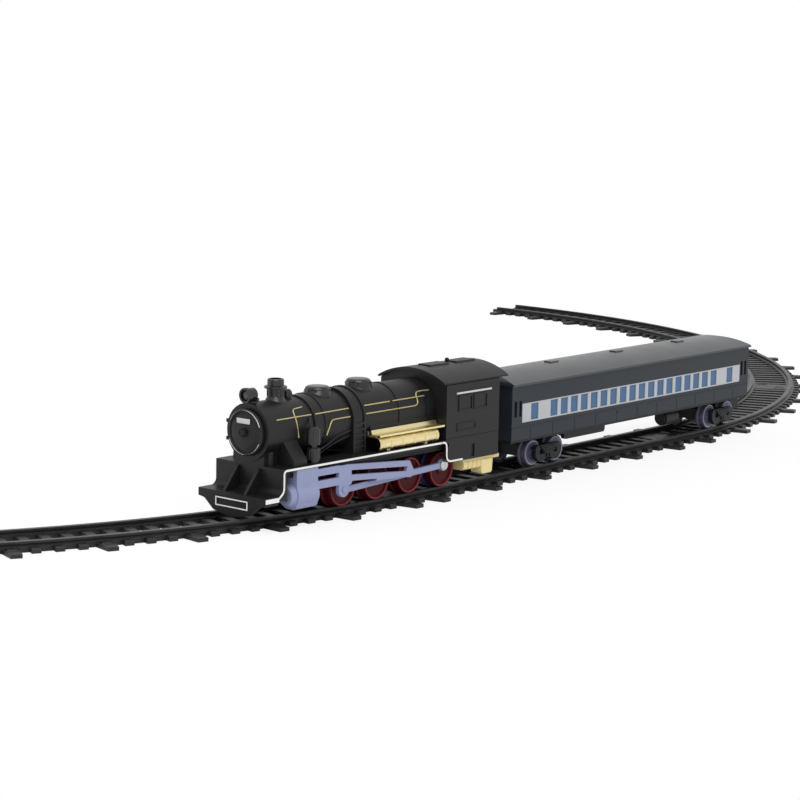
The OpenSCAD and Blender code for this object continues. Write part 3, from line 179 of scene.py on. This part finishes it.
def tint_by(finish, low, high, colour, axis="Z", place=None, turn=0.0, radial=False):
    # lays another colour over the finish where the distance from a place, along one of its axes
    # or out from its Y axis, lies between two values
    tree = finish.node_tree
    join = tree.links.new
    shader = tree.nodes["Principled BSDF"]
    under = shader.inputs["Base Color"].links[0].from_socket
    where = add_node(tree, "TexCoord")
    centre = add_node(tree, "Mapping")
    centre.vector_type = "TEXTURE"
    centre.inputs["Location"].default_value = place or (0, 0, 0)
    centre.inputs["Rotation"].default_value = (0, 0, turn)
    parts = add_node(tree, "SeparateXYZ")
    join(where.outputs["Object"], centre.inputs["Vector"])
    join(centre.outputs["Vector"], parts.inputs["Vector"])
    if radial:
        flat = add_node(tree, "CombineXYZ")
        far = add_node(tree, "VectorMath", operation="LENGTH")
        join(parts.outputs["X"], flat.inputs["X"])
        join(parts.outputs["Z"], flat.inputs["Z"])
        join(flat.outputs["Vector"], far.inputs[0])
        measure = far.outputs["Value"]
    else:
        size = add_node(tree, "Math", operation="ABSOLUTE")
        join(parts.outputs[axis], size.inputs[0])
        measure = size.outputs[0]
    above = add_node(tree, "Math", {1: low}, operation="GREATER_THAN")
    below = add_node(tree, "Math", {1: high}, operation="LESS_THAN")
    both = add_node(tree, "Math", operation="MULTIPLY")
    blend = add_node(tree, "Mix")
    blend.data_type = "RGBA"
    blend.inputs["B"].default_value = list(colour) + [1]
    join(measure, above.inputs[0])
    join(measure, below.inputs[0])
    join(above.outputs[0], both.inputs[0])
    join(below.outputs[0], both.inputs[1])
    join(both.outputs[0], blend.inputs["Factor"])
    join(under, blend.inputs["A"])
    join(blend.outputs["Result"], shader.inputs["Base Color"])


rail_head_sheen_low, rail_head_sheen_high = 0.00405, 0.0050
track_black = moulded("track_black", (0.013, 0.013, 0.014), 0.42, shine=0.4, grain=900)
# the rail heads are tinted lighter: partly wear, partly a painted sheen standing in for the light
# on them
tint_by(track_black, rail_head_sheen_low, rail_head_sheen_high, (0.045, 0.045, 0.047))
paint_nodes(track_black, "track_straight", "track_left_curve", "track_right_curve_1",
            "track_right_curve_2", "track_right_curve_3")

# Boiler, smokebox, cab and running board are one black plastic, spark-eroded to a fine satin.
# The lamp, chimney, bell, domes and pump are glossier, and the chassis and drawbar are dull.
loco_black = moulded("loco_black", (0.0090, 0.0084, 0.0088), 0.42, shine=0.30, grain=1700,
                     relief=0.18)
paint_nodes(loco_black, "boiler", "smokebox_door", "cab", "cab_roof", "running_board", "front_deck")
fitting_black = moulded("fitting_black", (0.0085, 0.0082, 0.0085), 0.27, shine=0.55, relief=0.05)
paint_nodes(fitting_black, "headlight", "chimney", "bell", "sand_dome", "steam_dome", "air_pump")
chassis_black = moulded("chassis_black", (0.006, 0.006, 0.0065), 0.55, shine=0.25)
paint_nodes(chassis_black, "chassis", "drawbar")


# Handrails and feed pipes along the boiler are raised in the moulding and picked out in pale
# gold paint. They hug the barrel, step round its fittings and end at the cab's front.
def stand(middle, forward, left):
    # takes millimetres ahead of, to the left of and above a point of the table to the frame
    turned = Matrix((forward, left, Vector((0, 0, 1)))).transposed().to_4x4()
    return Matrix.Translation((middle.x, middle.y, 0)) @ turned @ Matrix.Scale(0.001, 4)


def fit(bm, name, place, finish, body, smooth=True):
    # makes the shape a piece of its own, set in its place and riding on its body
    one_point, sharp_edge = 1e-4, math.radians(35)
    bmesh.ops.remove_doubles(bm, verts=bm.verts, dist=one_point)
    bmesh.ops.recalc_face_normals(bm, faces=bm.faces)
    bmesh.ops.transform(bm, matrix=place, verts=bm.verts)
    mesh = bpy.data.meshes.new(name)
    for face in bm.faces:
        face.smooth = smooth
    bm.to_mesh(mesh)
    bm.free()
    mesh.materials.append(finish)
    if smooth:
        mesh.set_sharp_from_angle(angle=sharp_edge)
    piece = bpy.data.objects.new(name, mesh)
    bpy.context.scene.collection.objects.link(piece)
    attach(piece, body)


def rounded(corners, reach, steps=4):
    # takes each corner of the path off with a curve that starts at the reach before it
    path = [Vector(corners[0])]
    for before, corner, after in zip(corners, corners[1:], corners[2:]):
        before, corner, after = Vector(before), Vector(corner), Vector(after)
        near = corner + (before - corner).normalized() * min(reach, (before - corner).length / 2)
        far = corner + (after - corner).normalized() * min(reach, (after - corner).length / 2)
        for step in range(steps + 1):
            t = step / steps
            path.append(near * (1 - t) ** 2 + corner * 2 * t * (1 - t) + far * t ** 2)
    path.append(Vector(corners[-1]))
    return path


def only(kind, geom):
    return [part for part in geom if isinstance(part, kind)]


def edges_of(verts):
    return list(dict.fromkeys(edge for vert in verts for edge in vert.link_edges))


def sweep(bm, edges, path):
    # draws the edges along the path, turned square to it, and gives back its end and its skin
    facing = (path[1] - path[0]).normalized()
    skin = []
    for index in range(1, len(path)):
        arriving = (path[index] - path[index - 1]).normalized()
        last = index == len(path) - 1
        leaving = arriving if last else (path[index + 1] - path[index]).normalized()
        bend = (arriving + leaving).normalized()
        grown = bmesh.ops.extrude_edge_only(bm, edges=edges)["geom"]
        verts = only(bmesh.types.BMVert, grown)
        edges = [edge for edge in only(bmesh.types.BMEdge, grown)
                 if edge.verts[0] in verts and edge.verts[1] in verts]
        skin += only(bmesh.types.BMFace, grown)
        bmesh.ops.translate(bm, verts=verts, vec=path[index] - path[index - 1])
        bmesh.ops.rotate(bm, verts=verts, cent=path[index],
                         matrix=facing.rotation_difference(bend).to_matrix())
        facing = bend
    return edges, skin


def draw_pipe(bm, path, radius, sides=8):
    run = (path[1] - path[0]).normalized()
    ring = bmesh.ops.create_circle(bm, cap_ends=True, radius=radius, segments=sides)["verts"]
    bmesh.ops.rotate(bm, verts=ring, cent=(0, 0, 0),
                     matrix=Vector((0, 0, 1)).rotation_difference(run).to_matrix())
    bmesh.ops.translate(bm, verts=ring, vec=path[0])
    end, _ = sweep(bm, edges_of(ring), path)
    bmesh.ops.contextual_create(bm, geom=end)


def on_barrel(x, z, radius):
    return Vector((x, math.sqrt(radius ** 2 - (z - boiler_z) ** 2), z))


def both_sides(bm):
    bmesh.ops.mirror(bm, geom=bm.verts[:] + bm.edges[:] + bm.faces[:], matrix=Matrix.Identity(4),
                     merge_dist=0, axis="Y")


# the locomotive's own place: X forward from the middle of its wheelbase, Y to its left, Z up
joints = {joint["name"]: joint for joint in frame["joints"]}
first_axle = Vector(joints["driver_spin_1"]["pos_m"])
last_axle = Vector(joints["driver_spin_4"]["pos_m"])
loco_forward = (first_axle - last_axle).normalized()
loco_left = Vector(joints["driver_spin_1"]["axis"]).normalized()
loco_place = stand((first_axle + last_axle) / 2, loco_forward, loco_left)
boiler_z = 38.9
smokebox_skin, barrel_skin, ring_skin = 11.95, 12.5, 13.0
rail_radius, rail_bend = 0.27, 1.6
gold_line = moulded("gold_line", (0.50, 0.43, 0.20), 0.42, shine=0.5, metal=0.45, relief=0.05)
rail_runs = (
    # the upper rail, in four lengths from the smokebox to the cab
    ((69.4, 44.3, smokebox_skin), (49.2, 44.4, smokebox_skin)),
    ((47.3, 44.5, barrel_skin), (27.2, 44.7, barrel_skin)),
    ((17.4, 44.8, barrel_skin), (1.4, 44.9, barrel_skin)),
    ((-0.6, 44.9, barrel_skin), (-21.0, 45.0, barrel_skin)),
    # the feed pipe ahead of the pipe band, with its foot on a ring of the barrel
    ((27.2, 41.4, barrel_skin), (37.8, 41.3, barrel_skin), (39.4, 40.6, ring_skin),
     (41.6, 35.3, ring_skin)),
    # the feed pipe behind the pipe band, stepping up in front of the cab
    ((17.4, 41.5, barrel_skin), (-14.6, 41.6, barrel_skin), (-16.2, 42.6, barrel_skin),
     (-16.4, 46.4, barrel_skin), (-18.4, 47.0, barrel_skin), (-25.6, 46.9, barrel_skin)),
    # the pipe down the smokebox
    ((52.2, 47.6, smokebox_skin), (58.2, 47.2, smokebox_skin), (58.4, 42.5, smokebox_skin),
     (57.2, 35.9, smokebox_skin)),
)
bm = bmesh.new()
for run in rail_runs:
    draw_pipe(bm, rounded([on_barrel(*point) for point in run], rail_bend), rail_radius)
both_sides(bm)
fit(bm, "handrails", loco_place, gold_line, "loco")

# Two black pipes lead from the air pump back to the pipe band on the barrel, one rises from its
# top and a thin one lies behind it. All are stiff mouldings, on the left side as the pump is, and
# go a little way into what they join.
pipe_black = moulded("pipe_black", (0.010, 0.010, 0.010), 0.38, shine=0.45, relief=0.05)
thin_pipe, thick_pipe, pipe_bend = 0.3, 0.4, 3.0
pump_runs = (
    (thin_pipe, (on_barrel(41.8, 35.2, 12.4), on_barrel(49.6, 35.0, 12.4))),
    (thick_pipe, (on_barrel(25.9, 35.6, 12.5), on_barrel(33.0, 34.6, 12.6),
                  on_barrel(37.5, 30.8, 12.6), (50.8, 14.3, 29.2))),
    (thick_pipe, (on_barrel(25.9, 33.4, 12.5), on_barrel(31.5, 32.0, 12.6),
                  on_barrel(36.0, 28.6, 12.6), (50.8, 14.3, 27.4))),
    (thick_pipe, ((52.6, 13.6, 40.0), on_barrel(51.4, 42.0, 12.4), on_barrel(50.6, 43.6, 12.3))),
)
bm = bmesh.new()
for radius, run in pump_runs:
    draw_pipe(bm, rounded(run, pipe_bend), radius)
fit(bm, "pump_pipes", loco_place, pipe_black, "loco")

# A white line is painted along the running board's edge. It drops at the front step, sweeps out
# to the beam, and at the cab it turns down the front corner and runs under the cab side.
def draw_band(bm, path, width, proud):
    run = (path[1] - path[0]).normalized()
    across = run.cross(Vector((0, 1, 0)))
    ends = [bm.verts.new(path[0] - across * width / 2), bm.verts.new(path[0] + across * width / 2)]
    _, skin = sweep(bm, [bm.edges.new(ends)], path)
    raised = bmesh.ops.extrude_face_region(bm, geom=skin)["geom"]
    bmesh.ops.translate(bm, verts=only(bmesh.types.BMVert, raised), vec=(0, proud, 0))


stripe_white = moulded("stripe_white", (0.80, 0.80, 0.78), 0.5, shine=0.3, mottle=0.04, relief=0.05)
half_width = 18.8
line_y, line_proud = half_width + 0.01, 0.14
board_z, step_x, cab_corner_x = 25.1, 73.1, -27.6
lining_runs = (
    # (X, Z) of the corners, the bend at them and the width: board and step, cab, beam
    (((-25.0, board_z), (step_x, board_z), (step_x, 16.6), (76.2, 14.2)), 1.6, 0.8),
    (((-23.6, board_z), (cab_corner_x, board_z), (cab_corner_x, 16.5), (-38.4, 16.5)), 3.0, 0.75),
    (((76.0, 13.9), (83.6, 13.9)), 0.0, 1.8),
)
bm = bmesh.new()
for corners, bend, width in lining_runs:
    draw_band(bm, rounded([(x, line_y, z) for x, z in corners], bend), width, line_proud)
both_sides(bm)
fit(bm, "running_board_lining", loco_place, stripe_white, "loco")


# A bright strip stands over the cab windows on either side, to shed the rain. It is taken to be
# metal foil, pressed over a moulded ledge.
def block(bm, size, middle):
    corners = bmesh.ops.create_cube(bm, size=1)["verts"]
    bmesh.ops.scale(bm, verts=corners, vec=size)
    bmesh.ops.translate(bm, verts=corners, vec=middle)


def soften(bm, width):
    bmesh.ops.bevel(bm, geom=bm.edges[:], offset=width, segments=2, profile=0.5,
                    affect="EDGES", material=-1)


foil = moulded("foil", (0.60, 0.60, 0.58), 0.35, shine=0.5, mottle=0.04, metal=0.4, relief=0.04)
bm = bmesh.new()
block(bm, (23.6, 0.6, 0.8), (-45.1, half_width + 0.28, 45.55))
soften(bm, 0.15)
both_sides(bm)
fit(bm, "rain_strips", loco_place, foil, "loco")

# A plain panel sits in the middle of the buffer beam. It is part of the beam, and a thin raised
# frame, painted white, is all that marks it.
beam_x, panel_z, line_depth = 83.85, 11.0, 0.2
panel_width, post_width, bar_height, bar_apart = 18.0, 0.5, 0.45, 3.2
bm = bmesh.new()
for end in (-1, 1):
    block(bm, (line_depth, post_width, bar_apart),
          (beam_x, end * (panel_width - post_width) / 2, panel_z))
    block(bm, (line_depth, panel_width, bar_height), (beam_x, 0, panel_z + end * bar_apart / 2))
fit(bm, "beam_lining", loco_place, stripe_white, "loco", smooth=False)


# The smokebox door carries a bright half-ring above and below, raised in the moulding and
# painted. They turn with the door.
def tilt(bm, verts, angle, axis, centre=(0, 0, 0)):
    bmesh.ops.rotate(bm, verts=verts, cent=centre, matrix=Matrix.Rotation(angle, 3, axis))


quarter_turn = math.pi / 2
door_seat, door_rise = 75.1, 1.7
door_face = door_seat + door_rise
ring_radius, ring_thick, ring_sunk, ring_sweep = 9.0, 0.5, 0.1, math.radians(128)
bm = bmesh.new()
for start in (math.radians(22), math.radians(205)):
    profile = bmesh.ops.create_circle(bm, cap_ends=False, radius=ring_thick, segments=10)["verts"]
    tilt(bm, profile, quarter_turn, "Y")
    tilt(bm, profile, quarter_turn, "Z")
    bmesh.ops.translate(bm, verts=profile, vec=(door_face - ring_sunk, ring_radius, boiler_z))
    tilt(bm, profile, start, "X", (door_face, 0, boiler_z))
    bmesh.ops.spin(bm, geom=profile + edges_of(profile), cent=(door_face, 0, boiler_z),
                   axis=(1, 0, 0), angle=ring_sweep, steps=28)
ring_white = moulded("ring_white", (0.62, 0.62, 0.60), 0.4, shine=0.4, mottle=0.05, relief=0.05)
fit(bm, "door_rings", loco_place, ring_white, "smokebox_door")

# A number plate sits on the upper half of the door. It is a blank white slip with its edges
# taken off, cemented to the door's face.
plate_size, plate_place = (0.5, 7.2, 2.1), (door_face + 0.6, 0, 43.6)
bm = bmesh.new()
block(bm, plate_size, plate_place)
soften(bm, 0.18)
plate_white = moulded("plate_white", (0.55, 0.55, 0.54), 0.5, shine=0.3, mottle=0.05)
fit(bm, "door_plate", loco_place, plate_white, "smokebox_door")

# A small handwheel with two crossed spokes stands on the boss at the door's middle. It is black
# plastic, as the chassis is.
grip_radius, grip_thick, spoke_thick, grip_ahead = 1.7, 0.28, 0.2, 1.2
bm = bmesh.new()
rim = bmesh.ops.create_circle(bm, cap_ends=False, radius=grip_thick, segments=8)["verts"]
tilt(bm, rim, quarter_turn, "X")
bmesh.ops.translate(bm, verts=rim, vec=(grip_radius, 0, 0))
bmesh.ops.spin(bm, geom=rim + edges_of(rim), cent=(0, 0, 0), axis=(0, 0, 1), angle=math.tau,
               steps=32, use_merge=True)
for turned in (0, quarter_turn):
    spoke = bmesh.ops.create_cone(bm, cap_ends=True, segments=8, radius1=spoke_thick,
                                  radius2=spoke_thick, depth=2 * grip_radius)["verts"]
    tilt(bm, spoke, quarter_turn, "X")
    tilt(bm, spoke, turned, "Z")
tilt(bm, bm.verts, quarter_turn, "Y")
bmesh.ops.translate(bm, verts=bm.verts, vec=(door_face + grip_ahead, 0, boiler_z))
fit(bm, "door_handwheel", loco_place, chassis_black, "smokebox_door")

# The headlight has a smoked lens, cemented inside its rim. It is cut from the top of a ball and
# pressed flat, so that it bulges only a little forward.
lens_radius, lens_cut, lens_flatness = 2.12, 0.2, 0.28
lamp_place = (75.75, 0, 53.8)
bm = bmesh.new()
bmesh.ops.create_uvsphere(bm, u_segments=28, v_segments=14, radius=lens_radius)
bmesh.ops.bisect_plane(bm, geom=bm.verts[:] + bm.edges[:] + bm.faces[:],
                       plane_co=(0, 0, lens_cut), plane_no=(0, 0, 1), clear_inner=True)
bmesh.ops.contextual_create(bm, geom=[edge for edge in bm.edges if edge.is_boundary])
bmesh.ops.scale(bm, verts=bm.verts, vec=(1, 1, lens_flatness))
tilt(bm, bm.verts, quarter_turn, "Y")
bmesh.ops.translate(bm, verts=bm.verts, vec=lamp_place)
lens_smoke = moulded("lens_smoke", (0.030, 0.028, 0.026), 0.08, shine=0.6, relief=0.0)
fit(bm, "headlight_lens", loco_place, lens_smoke, "loco")

# An air tank lies along each running board with a shelf over it. Both are plastic sprayed a soft
# gold, and their front ends are dark.
dark_end_x, dark_depth = 16.3, 0.0010
loco_turn = math.atan2(loco_forward.y, loco_forward.x)
gold_paint = moulded("gold_paint", (0.84, 0.72, 0.40), 0.30, shine=0.5, mottle=0.06, metal=0.95,
                     relief=0.08)
tint_by(gold_paint, -1, dark_depth, (0.02, 0.02, 0.02), axis="X",
        place=loco_place @ Vector((dark_end_x, 0, 0)), turn=loco_turn)
paint_nodes(gold_paint, "left_air_tank", "right_air_tank", "left_tank_shelf", "right_tank_shelf")

# Cylinders, guide bars and links are one lavender plastic moulding on each side, straight from
# the mould. The main rods are the same plastic and turn on the crank pins.
lavender = moulded("lavender", (0.255, 0.280, 0.445), 0.45, shine=0.35, mottle=0.04, grain=1200,
                   relief=0.08)
paint_nodes(lavender, "left_cylinder", "right_cylinder", "left_main_rod", "right_main_rod")

# Driving wheels are dark red plastic on a plain axle, with a painted highlight as a brighter ring
# round the rim. The rear pair's inner discs are dark blue.
rim_highlight_low, rim_highlight_high, rear_disc_y = 0.0067, 0.0074, 0.0092
for number in (1, 2, 3, 4):
    axle = joints["driver_spin_%d" % number]["pos_m"]
    wheel_red = moulded("wheel_red_%d" % number, (0.070, 0.003, 0.006), 0.42, shine=0.15,
                        mottle=0.1)
    # the brighter ring at the rim is a painted highlight, not a colour of the wheel
    tint_by(wheel_red, rim_highlight_low, rim_highlight_high, (0.22, 0.035, 0.045), place=axle, turn=loco_turn,
            radial=True)
    if number == 4:
        tint_by(wheel_red, 0.0, rear_disc_y, (0.022, 0.018, 0.11), axis="Y", place=axle,
                turn=loco_turn)
    paint_nodes(wheel_red, "driver_axle_%d" % number)

# The step and the lower frame under the cab are one moulding in cream plastic. Posts hold it
# below the deck.
cream = moulded("cream", (0.72, 0.60, 0.29), 0.45, shine=0.35, mottle=0.05, relief=0.08)
paint_nodes(cream, "cab_underframe")

# Inside are a plain cell between plated springs, a motor can, and white nylon gears. Screws and
# crank pins are plated like the springs, and the switch under the cab is red.
steel = moulded("steel", (0.55, 0.55, 0.56), 0.3, shine=0.5, mottle=0.05, metal=0.9, relief=0.05)
paint_nodes(steel, "battery_contacts", "motor", "chassis_screws", "bogie_screws", "crank_pins")
cell_sleeve = moulded("cell_sleeve", (0.16, 0.18, 0.21), 0.35, shine=0.5, mottle=0.05, metal=0.5,
                      relief=0.04)
paint_nodes(cell_sleeve, "battery_cell")
nylon = moulded("nylon", (0.75, 0.74, 0.70), 0.5, shine=0.35, mottle=0.03)
paint_nodes(nylon, "motor_pinion", "idler_gear", "axle_gear")
switch_red = moulded("switch_red", (0.45, 0.03, 0.03), 0.45, shine=0.35, mottle=0.05)
paint_nodes(switch_red, "power_switch")

# The coach body is blue-grey plastic, and its roof is the same colour with more gloss. White
# window strips stand over blue panes, and the floor and running gear are black.
coach_colour = (0.015, 0.021, 0.028)
coach_grey = moulded("coach_grey", coach_colour, 0.42, shine=0.28, mottle=0.06, relief=0.06)
paint_nodes(coach_grey, "coach_body")
roof_grey = moulded("roof_grey", coach_colour, 0.30, shine=0.62, mottle=0.06, relief=0.03)
paint_nodes(roof_grey, "coach_roof")
coach_black = moulded("coach_black", (0.010, 0.011, 0.013), 0.5, shine=0.3)
paint_nodes(coach_black, "coach_floor", "underfloor_box", "underfloor_tank", "front_bogie",
            "rear_bogie", "rear_coupler")
strip_white = moulded("strip_white", (0.43, 0.44, 0.47), 0.4, shine=0.4, mottle=0.03, relief=0.04)
paint_nodes(strip_white, "left_window_strip", "right_window_strip")
pane_blue = moulded("pane_blue", (0.034, 0.105, 0.220), 0.2, shine=0.4, mottle=0.06, relief=0.02)
paint_nodes(pane_blue, "left_glazing", "right_glazing")

# The coach's wheels are grey plastic with a paler lavender ring round each disc. Each pair turns
# in its bogie.
disc_low, disc_high = 0.0046, 0.0055
for number in (1, 2, 3, 4):
    joint = joints["coach_spin_%d" % number]
    left = Vector(joint["axis"])
    wheel_grey = moulded("coach_wheel_%d" % number, (0.085, 0.085, 0.135), 0.4, shine=0.4,
                         mottle=0.08)
    tint_by(wheel_grey, disc_low, disc_high, (0.28, 0.29, 0.42), place=joint["pos_m"],
            turn=math.atan2(-left.x, left.y), radial=True)
    paint_nodes(wheel_grey, "coach_axle_%d" % number)

# Three small round studs stand on the lower panels of each side of the coach. They are moulded
# with the body, in its own grey.
pivot_ahead = 0.06585
front_pivot = Vector(joints["front_bogie_swivel"]["pos_m"])
rear_pivot = Vector(joints["rear_bogie_swivel"]["pos_m"])
coach_forward = ((front_pivot - rear_pivot) * Vector((1, 1, 0))).normalized()
coach_left = Vector((-coach_forward.y, coach_forward.x, 0))
coach_place = stand(front_pivot - coach_forward * pivot_ahead, coach_forward, coach_left)
stud_foot, stud_top, stud_rise = 0.55, 0.4, 0.3
stud_y, stud_z = 17.53, 23.2
bm = bmesh.new()
for along in (15.9, -0.7, -17.0):
    stud = bmesh.ops.create_cone(bm, cap_ends=True, segments=20, radius1=stud_foot,
                                 radius2=stud_top, depth=stud_rise)["verts"]
    tilt(bm, stud, -quarter_turn, "X")
    bmesh.ops.translate(bm, verts=stud, vec=(along, stud_y, stud_z))
both_sides(bm)
fit(bm, "coach_studs", coach_place, coach_grey, "coach")
